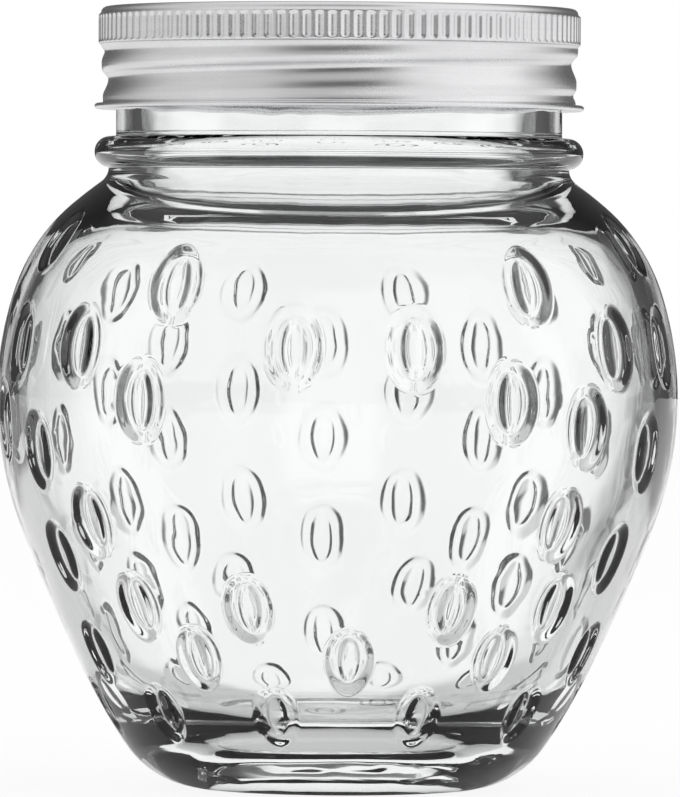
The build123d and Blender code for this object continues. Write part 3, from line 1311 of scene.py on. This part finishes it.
    def seed_patch(self, maker: MeshMaker, wall: Wall,
                   seed: Seed) -> tuple[np.ndarray, np.ndarray, np.ndarray]:
        """Build the rings of points round one seed, from its crown out past the dimple's lip.

        Args:
            maker: The mesh in the making.
            wall: The wall that carries the seed.
            seed: The seed.

        Returns:
            The outermost ring's numbers, and its places on the unrolled wall.
        """
        at = wall.at_height(seed.height)
        radius, angle = wall.radius(at), math.radians(seed.angle)
        seed_half = seed.halves(self.seed_width, self.seed_length)
        dimple_half = seed.halves(self.dimple_width, self.dimple_length)
        sizes = [(seed_half[0] * share, seed_half[1] * share) for share in self.seed_rings]
        start = sizes[-1]
        for share in self.dimple_rings:
            blend = min(share / self.ring_blend, 1.0)
            lift = max(share / self.ring_blend, 1.0)
            sizes.append(tuple((a + (b - a) * blend) * lift
                               for a, b in zip(start, dimple_half)))
        spokes = even_angles(self.spokes)
        rings = []
        for half_width, half_length in [(0.0, 0.0), *sizes]:
            spoke = spokes[:1 if half_width == 0.0 else self.spokes]
            across, up = half_width * np.cos(spoke), half_length * np.sin(spoke)
            angles = angle + across / radius
            rings.append(self.place(
                maker, wall, at + up, angles,
                seed_reach=np.hypot(across / seed_half[0], up / seed_half[1]),
                dimple_reach=np.hypot(across / dimple_half[0], up / dimple_half[1])))
        maker.fan(int(rings[0][0]), rings[1], outwards=False)
        for inner, outer in zip(rings[1:], rings[2:]):
            maker.strip(outer, inner)
        return rings[-1], wall.spread_at(at + up), angles

    def join(self, maker: MeshMaker, flat: np.ndarray, numbers: np.ndarray,
             groups: np.ndarray) -> None:
        """Fill the unrolled wall between its rings and patches with triangles.

        Args:
            maker: The mesh in the making.
            flat: Each point's place on the flat map.
            numbers: Each point's number in the mesh.
            groups: Which patch's rim each point is on, -2 for the lower ring, -1 for none.
        """
        places = [Vector(place) for place in flat.tolist()]
        _, _, faces, origins, *_ = delaunay_2d_cdt(places, [], [], 0, self.closeness)
        source = np.array([first[0] if first else -1 for first in origins])
        for face in faces:
            three = source[list(face)]
            of = groups[three]
            if of[0] == of[1] == of[2] and of[0] != -1:
                continue
            a, b, c = (flat[corner] for corner in three)
            left = (b[0] - a[0]) * (c[1] - a[1]) - (b[1] - a[1]) * (c[0] - a[0]) > 0
            order = three[::-1] if left else three
            maker.faces.append(tuple(int(numbers[corner]) for corner in order))

    def relief(self) -> Relief:
        """Make the tree that presses the dimples, raises the seeds and cuts the thread.

        Returns:
            The tree.
        """
        relief = Relief("jar_relief", {
            "Dimple Depth": self.dimple_depth, "Lip Start": 0.68, "Lip End": 1.05,
            "Seed Rise": self.seed_rise, "Seed Squareness": 3.6, "Seed Softness": 0.06,
            "Seed Limit": 1.6, "Ripple Depth": 0.10, "Ripple Scale": 70.0,
            "Thread Height": self.thread_height, "Thread Pitch": self.thread_pitch,
            "Thread Low": self.neck_height + self.thread_low,
            "Shoulder Swell": 1.5, "Shoulder Low": 83.0, "Shoulder Full": 92.0,
            "Shoulder End": 99.0})
        dimple, seed = relief.stored("dimple_reach"), relief.stored("seed_reach")
        depth, rise = relief.size("Dimple Depth"), relief.size("Seed Rise")
        floor = -depth * (1.0 - dimple.step(relief.size("Lip Start"), relief.size("Lip End")))
        dome = rise - depth - rise * seed ** relief.size("Seed Squareness")
        seeded = floor.maths("SMOOTH_MAX", dome, relief.size("Seed Softness"))
        pick = seed.maths("LESS_THAN", relief.size("Seed Limit"))
        pressed = floor + pick * (seeded - floor)
        noise = relief.graph.noise(relief.place, relief.size("Ripple Scale"), Detail.SMOOTH)
        inside = relief.stored("inside")
        ripple = inside * relief.size("Ripple Depth") * (noise - 0.5) * 2.0
        relief.finish(pressed + ripple + self.thread(relief) + inside * self.swell(relief))
        return relief

    @staticmethod
    def swell(relief: Relief) -> Value:
        """Thicken the glass inside its shoulder, below the neck.

        Args:
            relief: The tree.

        Returns:
            How much thicker the glass is, in millimetres.
        """
        height = relief.graph.parts(relief.place)[2] / MM
        low, full, end = (relief.size("Shoulder " + label) for label in ("Low", "Full", "End"))
        return (relief.size("Shoulder Swell") * height.step(low, full)
                * (1.0 - height.step(full, end)))

    def thread(self, relief: Relief) -> Value:
        """Cut the screw thread on the glass, under the band.

        Args:
            relief: The tree.

        Returns:
            The height of the thread, in millimetres.
        """
        x, y, z = relief.graph.parts(relief.place)
        rise = z / MM - relief.size("Thread Low")
        turn = rise / relief.size("Thread Pitch") - turns(x, y)
        near = (turn.maths("FRACT") - 0.5).maths("ABSOLUTE")
        ridge = 1.0 - near.step(*self.thread_crest)
        ends = rise.step(*self.thread_start) * (1.0 - rise.step(*self.thread_end))
        return relief.stored("thread") * relief.size("Thread Height") * ridge * ends

    def build(self, glass: bpy.types.Material) -> bpy.types.Object:
        """Build the jar and put it in place of its node."""
        return hand_over(self.relief().bake("glass_jar", self.mesh(), glass), Node.JAR)


# The lid


@dataclass
class ScrewBand:
    """The metal ring: an inward flange, a fluted grip, a rolled thread and a curled foot."""

    top: float = 120.0
    sheet: float = 0.45
    mouth: float = 62.0
    mouth_round: float = 0.15
    side: float = 73.6
    grip: float = 74.35
    grip_from_top: float = 1.25
    grip_length: float = 4.3
    grip_edge: float = 0.35
    shoulder: float = 1.1
    foot: float = 72.9
    foot_gap: float = 0.15
    curl: float = 75.5
    curl_round: float = 0.45
    curl_heading: Pair = (0.786, -0.618)
    depth: float = 15.75
    flutes: int = 120
    flute_depth: float = 0.30
    slot_share: float = 0.42
    slot_ends: float = 0.5
    slot_softness: float = 0.3
    waist_depth: float = 0.95
    waist_below: float = 2.9
    waist_above: float = 1.5
    thread_pitch: float = 5.4
    thread_height: float = 110.2
    thread_fades: tuple[Pair, Pair] = ((0.3, 2.2), (1.6, 0.1))
    foot_margin: float = 0.1
    side_margin: float = 0.02
    grip_margin: float = 0.3
    columns: int = 480
    fine_times: int = 3
    step: float = 0.42
    grip_step: float = 0.2
    shoulder_step: float = 0.3
    flat_step: float = 0.8
    mouth_step: float = 0.1
    inner_step: float = 0.5
    flare_step: float = 0.15
    curl_step: float = 0.12

    @property
    def grip_high(self) -> float:
        """Height of the grip's upper edge."""
        return self.top - self.grip_from_top

    @property
    def grip_low(self) -> float:
        """Height of the grip's lower edge."""
        return self.grip_high - self.grip_length

    def outline(self) -> Outline:
        """Draw the band's section: up its outside, over the flange and down inside.

        Returns:
            The section.
        """
        top, side, foot, mouth, grip = (self.top, self.side / 2, self.foot / 2,
                                        self.mouth / 2, self.grip / 2)
        high, low, edge = self.grip_high, self.grip_low, self.grip_edge
        inner, ceiling = side - self.sheet, top - self.sheet
        bottom = top - self.depth + self.curl_round
        curl = self.curl / 2 - self.curl_round
        pen = Pen((foot, bottom + self.curl_round), (0.0, 1.0), self.step)
        pen.line((side, low - edge))
        for place in ((grip, low), (grip, high), (side, high + edge)):
            pen.line(place, self.grip_step)
        pen.turn((side, top), (mouth, top), min(self.shoulder, top - high - edge),
                 self.shoulder_step)
        pen.turn((mouth, top), (mouth, ceiling), self.mouth_round, self.flat_step)
        pen.turn((mouth, ceiling), (inner, ceiling), self.mouth_round, self.mouth_step)
        pen.turn((inner, ceiling), (inner, low), self.shoulder - self.sheet / 2, self.flat_step)
        pen.line((inner, low - edge), self.inner_step)
        pen.line((foot - self.sheet, bottom))
        pen.bend((curl, bottom - self.curl_round), self.curl_heading, self.flare_step)
        pen.bend((curl + self.curl_round, bottom), (1.0, 0.0), self.curl_step)
        pen.bend((curl, bottom + self.curl_round), (0.0, 1.0), self.curl_step)
        pen.line((foot + self.foot_gap, bottom + self.curl_round), self.shoulder_step)
        return pen.outline()

    def shares(self, outline: Outline) -> dict[str, np.ndarray]:
        """Say where the flutes and the thread are pressed.

        Args:
            outline: The section.

        Returns:
            How much of each the section's points have. The thread's is negative inside, where
            the normals point the other way.
        """
        radius, height = outline.points.T
        low, bottom = self.grip_low, self.top - self.depth
        outside = radius > self.foot / 2 - self.foot_margin
        inside = ~outside & (height < low) & (height > bottom)
        flute = (outside & (radius > self.side / 2 + self.side_margin)
                 & (height > low - self.grip_margin))
        (start, full), (fade, end) = self.thread_fades
        foot = bottom + 2 * self.curl_round
        room = smooth_share(height, foot + start, foot + full)
        room = room * (1 - smooth_share(height, low - fade, low - self.grip_edge - end))
        thread = np.where(outside, room, np.where(inside, -room, 0.0))
        return {"flute": np.where(flute, 1.0, 0.0), "thread": thread}

    def relief(self) -> Relief:
        """Make the tree that presses the flutes and rolls the thread.

        Returns:
            The tree.
        """
        relief = Relief("band_relief", {
            "Flutes": float(self.flutes), "Flute Depth": self.flute_depth,
            "Slot Width": self.slot_share * math.pi * self.grip / self.flutes,
            "Slot Length": self.grip_length - self.slot_ends,
            "Slot Softness": self.slot_softness,
            "Slot Height": self.grip_high - self.grip_length / 2,
            "Waist Depth": self.waist_depth, "Waist Below": self.waist_below,
            "Waist Above": self.waist_above, "Thread Pitch": self.thread_pitch,
            "Thread Height": self.thread_height + self.thread_pitch / 2})
        x, y, z = relief.graph.parts(relief.place)
        angle, height = turns(x, y), z / MM
        tooth = (angle * relief.size("Flutes")).maths("FRACT")
        across = (tooth - 0.5) * (math.pi * self.grip) / relief.size("Flutes")
        half = relief.size("Slot Width") * 0.5
        beyond = ((height - relief.size("Slot Height")).maths("ABSOLUTE")
                  - relief.size("Slot Length") * 0.5 + half).maths("MAXIMUM", 0.0)
        reach = (across * across + beyond * beyond) ** 0.5
        edge = (reach - half) / relief.size("Slot Softness") * 0.5 + 0.5
        slot = 1.0 - edge.step(0.0, 1.0)
        flutes = -relief.stored("flute") * relief.size("Flute Depth") * slot
        turn = (height - relief.size("Thread Height")) / relief.size("Thread Pitch") - angle
        near = (turn.maths("FRACT") - 0.5) * relief.size("Thread Pitch")
        below = 1.0 - (-near).step(0.0, relief.size("Waist Below"))
        above = 1.0 - near.step(0.0, relief.size("Waist Above"))
        low_side = near.maths("LESS_THAN", 0.0)
        waist = low_side * below + (1.0 - low_side) * above
        relief.finish(flutes - relief.stored("thread") * relief.size("Waist Depth") * waist)
        return relief

    def build(self, metal: bpy.types.Material) -> bpy.types.Object:
        """Build the band and put it in place of its node.

        Args:
            metal: Its finish.

        Returns:
            The band.
        """
        section = self.outline()
        shares = self.shares(section)
        times = np.where(shares["flute"] > 0, self.fine_times, 1)
        mesh = turned_mesh("band", section, self.columns, True, shares, times)
        return hand_over(self.relief().bake("screw_band_ring", mesh, metal), Node.BAND)


@dataclass
class LidDisc:
    """The flat disc with its raised panel and the soft seal under its edge."""

    low: float = 119.1
    sheet: float = 0.4
    edge: float = 70.0
    edge_round: float = 0.15
    panel: float = 57.0
    panel_rise: float = 0.4
    panel_round: float = 0.3
    panel_slope: float = 0.2
    panel_sink: float = 0.02
    bead: float = 50.0
    bead_rise: float = 0.12
    bead_reach: float = 1.2
    bead_round: float = 0.6
    seal_low: float = 118.5
    seal_outer: float = 65.8
    seal_inner: float = 62.0
    seal_rounds: tuple[float, ...] = (0.25, 0.1, 0.1, 0.25)
    flat_step: float = 2.0
    ledge_step: float = 0.8
    bead_step: float = 0.4
    slope_step: float = 0.3
    seal_step: float = 0.3
    edge_step: float = 0.2
    columns: int = 192

    def outline(self) -> Outline:
        """Draw the disc's section from the middle of its underside to its top.

        Returns:
            The section.
        """
        low, high = self.low, self.low + self.sheet
        panel, edge, rise = self.panel / 2, self.edge / 2, self.panel_rise
        slope, top = self.panel_slope, high + rise - self.panel_sink
        bead, reach, ditch = self.bead / 2, self.bead_reach, top - self.bead_rise
        pen = Pen((0.0, low + rise), (1.0, 0.0), self.flat_step)
        for corner, towards, radius, step in (
                ((panel, low + rise), (panel + rise, low), self.panel_round, self.flat_step),
                ((panel + rise, low), (edge, low), self.panel_round, self.slope_step),
                ((edge, low), (edge, high), self.edge_round, self.ledge_step),
                ((edge, high), (panel + rise, high), self.edge_round, self.edge_step),
                ((panel + rise + slope, high), (panel + slope, high + rise),
                 self.panel_round, self.ledge_step),
                ((panel + slope, top), (bead, top), self.panel_round, self.slope_step),
                ((bead + reach, top), (bead + reach / 2, ditch), self.bead_round,
                 self.ledge_step),
                ((bead, ditch), (bead - reach, top), self.bead_round, self.bead_step),
                ((bead - reach, top), (0.0, top), self.bead_round, self.bead_step)):
            pen.turn(corner, towards, radius, step)
        pen.line((0.0, top))
        return pen.outline()

    def seal_outline(self) -> Outline:
        """Draw the seal's section, a soft ring with round corners.

        Returns:
            The section.
        """
        outer, inner = self.seal_outer / 2, self.seal_inner / 2
        low, high = self.seal_low, self.low
        middle = (outer + inner) / 2
        places = ((outer, low), (outer, high), (inner, high), (inner, low), (middle, low))
        pen = Pen((middle, low), (1.0, 0.0), self.seal_step)
        for corner, towards, radius in zip(places, places[1:], self.seal_rounds):
            pen.turn(corner, towards, radius)
        return pen.outline()

    def build(self, metal: bpy.types.Material,
              soft: bpy.types.Material) -> list[bpy.types.Object]:
        """Build the disc and its seal and put them in place of their nodes.

        Args:
            metal: The disc's finish.
            soft: The seal's finish.

        Returns:
            The disc and the seal.
        """
        disc = turned_mesh("disc", self.outline(), self.columns, False)
        seal = turned_mesh("seal", self.seal_outline(), self.columns, True)
        return [hand_over(add_object("closing_disc", disc, metal), Node.DISC),
                hand_over(add_object("sealing_ring", seal, soft), Node.SEAL)]


# Studio


@dataclass(frozen=True)
class Lamp:
    """A square soft lamp: its place and width in metres and its power in watts."""

    name: str
    place: tuple[float, float, float]
    power: float
    width: float = 0.8


@dataclass
class Studio:
    """A pale floor, soft light from all sides and the camera.

    Lengths are metres, angles degrees, and light is a share of white. Ways through the room
    are unit vectors, so that their heights run from -1 to 1.
    """

    floor_size: float = 6.0
    floor_drop: float = 0.0004
    paint: Colour = (0.86, 0.86, 0.86, 1.0)
    floor_glow: float = 0.9
    distance: float = 1.22
    eye: float = 0.0841
    turn: float = -2.8
    roll: float = 0.36
    lens: float = 357.0
    sensor: float = 36.0
    clip: Pair = (0.05, 30.0)
    aim: float = 0.0598
    slide: float = 0.0004

    window: float = 18.0
    edge: float = 5.0
    table: Pair = (0.30, 0.42)
    table_light: float = 0.6
    front: Pair = (90.0, 120.0)
    front_reach: Pair = (0.7, 0.9)
    shadow: float = 0.45
    shadow_reach: Pair = (0.018, 0.05)
    backdrop: float = 1.0
    backdrop_top: Pair = (0.60, 0.70)
    dark: float = 0.06
    room: float = 0.9

    side_from: Pair = (10.0, 46.0)
    side_to: Pair = (95.0, 150.0)
    side_light: Pair = (0.64, 0.98)
    side_change: Pair = (-30.0, 30.0)
    gap_light: float = 0.10
    low_share: float = 0.35
    low_heights: Pair = (-0.45, 0.10)
    ceiling: float = 0.85
    ceiling_heights: Pair = (0.45, 0.85)

    lamps: tuple[Lamp, ...] = (Lamp("key", (0.9, -0.8, 1.1), 6.0),
                               Lamp("fill", (-1.0, -0.6, 0.9), 3.0))
    lamp_aim: float = 0.06

    def windows(self, azimuth: Value) -> Value:
        """Find the four white backdrops, behind, in front and to each side.

        Args:
            azimuth: Angle of a way from straight back.

        Returns:
            1 where the way meets a backdrop, and 0 between them.
        """
        fold = (azimuth / 90.0 + 0.5).maths("FRACT") - 0.5
        off = fold.maths("ABSOLUTE") * 90.0
        return 1.0 - off.step(self.window - self.edge, self.window + self.edge)

    def floor(self) -> bpy.types.Object:
        """Lay the floor, white to the camera and with the jar's faint shadow on it.

        What the glass shows of it is a pale table and, beyond its edge, white strips that
        run out to the backdrops between darker ones. In front of the jar it is white.

        Returns:
            The floor.
        """
        half, depth = self.floor_size / 2, -self.floor_drop
        mesh = bpy.data.meshes.new("floor")
        mesh.from_pydata([(-half, -half, depth), (half, -half, depth), (half, half, depth),
                          (-half, half, depth)], [], [(0, 1, 2, 3)])
        material, graph, place = new_material("pale_floor")
        x, y, _ = graph.parts(place)
        azimuth, radius = degrees(x, y), (x * x + y * y) ** 0.5
        strips = self.windows(azimuth)
        lit = strips + (1.0 - strips) * (1.0 - radius.step(*self.table)) * self.table_light
        before = azimuth.maths("ABSOLUTE").step(*self.front)
        before = before * (1.0 - radius.step(*self.front_reach))
        lit = lit + (1.0 - lit) * before
        shade = between(1.0 - self.shadow, 1.0, radius.step(*self.shadow_reach))
        camera, sent = graph.rays("Camera", "Transmission")
        strength = between(self.dark, self.backdrop, lit * shade)
        diffuse = graph.add("ShaderNodeBsdfDiffuse", None, {"Color": self.paint})
        white = graph.add("ShaderNodeEmission", None, {
            "Color": WHITE, "Strength": camera + (1.0 - camera) * strength})
        close_material(material, graph, "ShaderNodeMixShader", {
            0: camera * self.floor_glow + sent, 1: diffuse.outputs[0], 2: white.outputs[0]})
        floor = add_object("floor", mesh, material)
        return floor

    def world(self) -> None:
        """Light the room: white to the camera, four white backdrops with dark between them."""
        world = bpy.data.worlds.new("studio")
        bpy.context.scene.world = world
        world.use_nodes = True
        world.node_tree.nodes.clear()
        graph = Graph(world.node_tree)
        x, y, z = graph.parts(graph.add("ShaderNodeTexCoord").outputs["Generated"])
        level = 1.0 - z.step(*self.backdrop_top)
        through = between(self.dark, self.backdrop, self.windows(degrees(x, y)) * level)
        camera, sent, mirrored = graph.rays("Camera", "Transmission", "Glossy")
        other = mirrored * self.gloss(x, y, z) + (1.0 - mirrored) * self.room
        strength = camera + (1.0 - camera) * (sent * through + (1.0 - sent) * other)
        back = graph.add("ShaderNodeBackground", None, {"Color": WHITE, "Strength": strength})
        graph.add("ShaderNodeOutputWorld", None, {"Surface": back.outputs[0]})

    def gloss(self, x: Value, y: Value, z: Value) -> Value:
        """Light what the metal mirrors: soft light from each side and above, dark between.

        Args:
            x: How far a way goes to the right.
            y: How far it goes back.
            z: How far it goes up.

        Returns:
            The light from that way.
        """
        turn = math.radians(self.turn)
        side = x * math.cos(turn) + y * math.sin(turn)
        ahead = x * math.sin(turn) - y * math.cos(turn)
        angle = degrees(side, ahead)
        off = angle.maths("ABSOLUTE")
        light = off.step(*self.side_from) * (1.0 - off.step(*self.side_to))
        level = between(*self.side_light, angle.step(*self.side_change))
        height = between(self.low_share, 1.0, z.step(*self.low_heights))
        above = self.ceiling * z.step(*self.ceiling_heights)
        return ((self.gap_light + light * level) * height).maths("MAXIMUM", above)

    def hang_lamps(self) -> None:
        """Hang large soft lamps above the jar."""
        for lamp in self.lamps:
            light = bpy.data.lights.new(lamp.name, "AREA")
            light.energy, light.size = lamp.power, lamp.width
            thing = bpy.data.objects.new(lamp.name, light)
            bpy.context.scene.collection.objects.link(thing)
            thing.location = lamp.place
            thing.visible_glossy = thing.visible_transmission = False
            way = Vector((0.0, 0.0, self.lamp_aim)) - Vector(lamp.place)
            thing.rotation_euler = way.to_track_quat("-Z", "Y").to_euler()

    def camera(self) -> None:
        """Set up the camera at the photograph's angle."""
        data = bpy.data.cameras.new("camera")
        data.lens, data.sensor_width, data.sensor_fit = self.lens, self.sensor, "AUTO"
        data.clip_start, data.clip_end = self.clip
        camera = bpy.data.objects.new("camera", data)
        bpy.context.scene.collection.objects.link(camera)
        turn = math.radians(self.turn)
        place = Vector((math.sin(turn) * self.distance, -math.cos(turn) * self.distance,
                        self.eye))
        right = Vector((math.cos(turn), math.sin(turn), 0.0))
        target = Vector((0.0, 0.0, self.aim)) + right * self.slide
        look = (target - place).to_track_quat("-Z", "Y").to_matrix()
        camera.location = place
        camera.rotation_mode = "QUATERNION"
        roll = Matrix.Rotation(math.radians(self.roll), 3, "Z")
        camera.rotation_quaternion = (look @ roll).to_quaternion()
        bpy.context.scene.camera = camera

    def build(self) -> None:
        """Set up the whole studio."""
        self.floor()
        self.world()
        self.hang_lamps()
        self.camera()
        bpy.context.scene.view_settings.view_transform = "Standard"


def main() -> None:
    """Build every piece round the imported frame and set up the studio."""
    logging.basicConfig(level=logging.INFO, format="%(name)s: %(message)s")
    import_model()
    glass = ClearGlass().material()
    band_metal = SatinMetal("band_metal", light=(0.80, 0.80, 0.81, 1.0),
                            dark=(0.70, 0.70, 0.71, 1.0), low_rough=0.22, high_rough=0.34,
                            brush=0.10).material()
    disc_metal = SatinMetal("disc_metal", light=(0.78, 0.78, 0.79, 1.0),
                            dark=(0.70, 0.70, 0.71, 1.0), low_rough=0.26, high_rough=0.38,
                            brush=0.08).material()
    pieces = [GlassJar().build(glass), ScrewBand().build(band_metal),
              *LidDisc().build(disc_metal, SoftSeal().material())]
    for piece in pieces:
        LOG.info("%s: %d faces", piece.name, len(piece.data.polygons))
    Studio().build()


if __name__ == "__main__":
    main()
